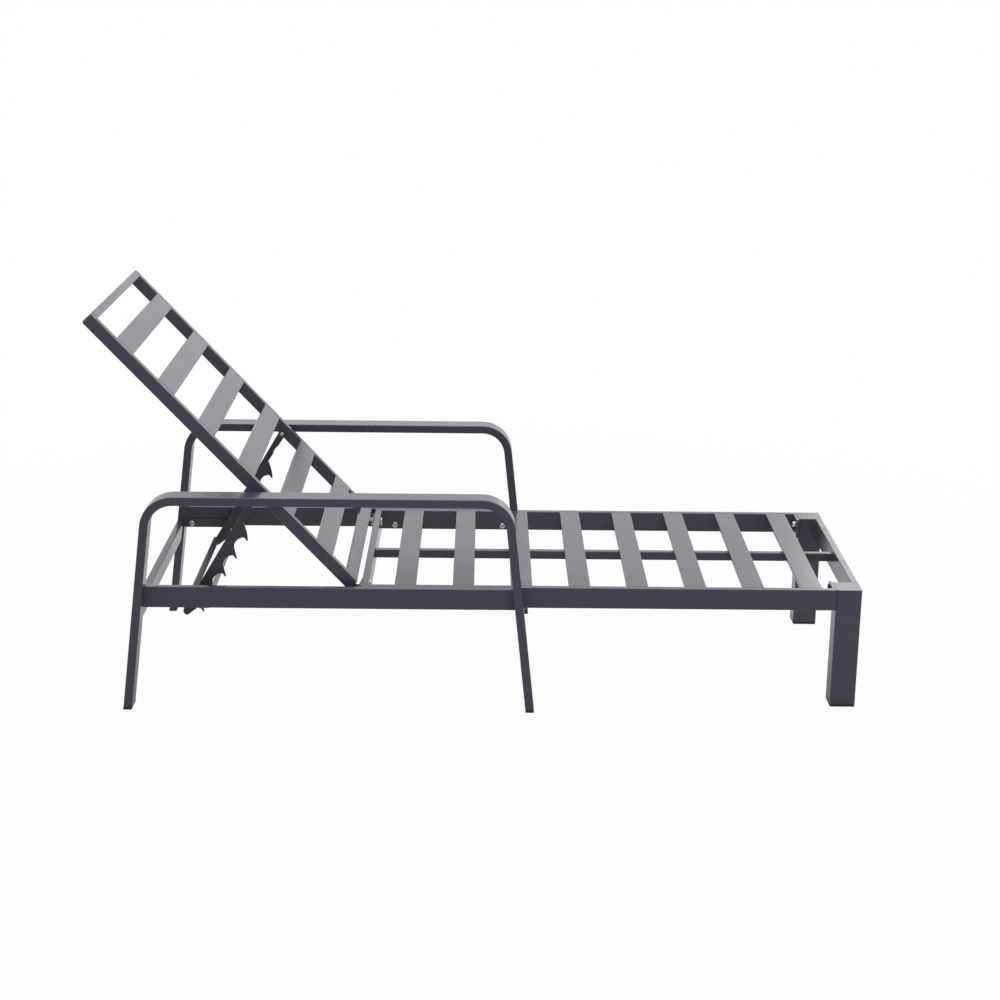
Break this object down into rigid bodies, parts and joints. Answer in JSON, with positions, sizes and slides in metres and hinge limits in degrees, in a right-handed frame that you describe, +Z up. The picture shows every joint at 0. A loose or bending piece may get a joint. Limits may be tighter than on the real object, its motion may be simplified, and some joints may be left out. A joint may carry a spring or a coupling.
{
  "type": "reclining sun lounger",
  "caption": "Tubular metal sun lounger with slatted seat, arm loops and a slatted backrest that folds flat and is held up by a notched prop.",
  "frame": {"origin": "on the ground, at the middle of the bounding box in plan", "axes": "+Z up, +X towards the foot end, +Y towards the left arm of somebody lying on it"},
  "size_m": [1.7502, 0.713, 0.9046],
  "materials": {
    "charcoal_frame": "charcoal grey powder coat, fine satin texture",
    "black_hardware": "black satin paint on steel",
    "bright_steel": "zinc-plated steel",
    "rest_bar_metal": "light grey coated round bar",
    "black_plastic": "black moulded plastic"
  },
  "bodies": {
    "frame": {"arm_foot_caps": "black_plastic", "corner_blocks": "charcoal_frame", "corner_bolts": "bright_steel", "foot_end_crossbar": "charcoal_frame", "frame_bolts": "bright_steel", "hinge_bolts": "bright_steel", "hinge_brackets": "black_hardware", "hinge_nuts": "bright_steel", "hinge_pin_clips": "bright_steel", "hinge_pins": "bright_steel", "left_arm_loop": "charcoal_frame", "left_arm_rail": "charcoal_frame", "left_foot_leg": "charcoal_frame", "left_rest_bar_hanger": "charcoal_frame", "left_seat_rail": "charcoal_frame", "leg_foot_caps": "black_plastic", "rear_crossbar": "charcoal_frame", "rest_bar": "rest_bar_metal", "right_arm_loop": "charcoal_frame", "right_arm_rail": "charcoal_frame", "right_corner_knob": "black_plastic", "right_foot_leg": "charcoal_frame", "right_rest_bar_hanger": "charcoal_frame", "right_seat_rail": "charcoal_frame", "rivet_nuts": "bright_steel", "seat_hinge_crossbar": "charcoal_frame", "seat_slat_1": "charcoal_frame", "seat_slat_2": "charcoal_frame", "seat_slat_3": "charcoal_frame", "seat_slat_4": "charcoal_frame", "seat_slat_5": "charcoal_frame", "seat_slat_6": "charcoal_frame", "seat_slat_7": "charcoal_frame", "seat_slat_8": "charcoal_frame", "seat_spine": "charcoal_frame"},
    "backrest": {"back_foot_crossbar": "charcoal_frame", "back_hinge_ends": "black_hardware", "back_slat_1": "charcoal_frame", "back_slat_2": "charcoal_frame", "back_slat_3": "charcoal_frame", "back_slat_4": "charcoal_frame", "back_slat_5": "charcoal_frame", "back_slat_6": "charcoal_frame", "back_top_crossbar": "charcoal_frame", "left_back_rail": "charcoal_frame", "prop_pivot_bolts": "bright_steel", "prop_pivot_sleeves": "bright_steel", "prop_spacers": "black_hardware", "right_back_rail": "charcoal_frame"},
    "prop": {"left_notched_bar": "black_hardware", "prop_tie_bar": "charcoal_frame", "right_notched_bar": "black_hardware"}
  },
  "joints": [
    {"name": "backrest_hinge", "type": "hinge", "parent": "frame", "child": "backrest", "pos_m": [-0.2819, 0, 0.2698], "axis": [0, 1, 0], "range_deg": [-46.8, 0]},
    {"name": "prop_pivot", "type": "hinge", "parent": "backrest", "child": "prop", "pos_m": [-0.50125, 0, 0.49388], "axis": [0, 1, 0], "range_deg": [0, 73.1]}
  ],
  "couplings": [
    {"joint": "prop_pivot", "follows": "backrest_hinge", "ratio": -1.56}
  ]
}
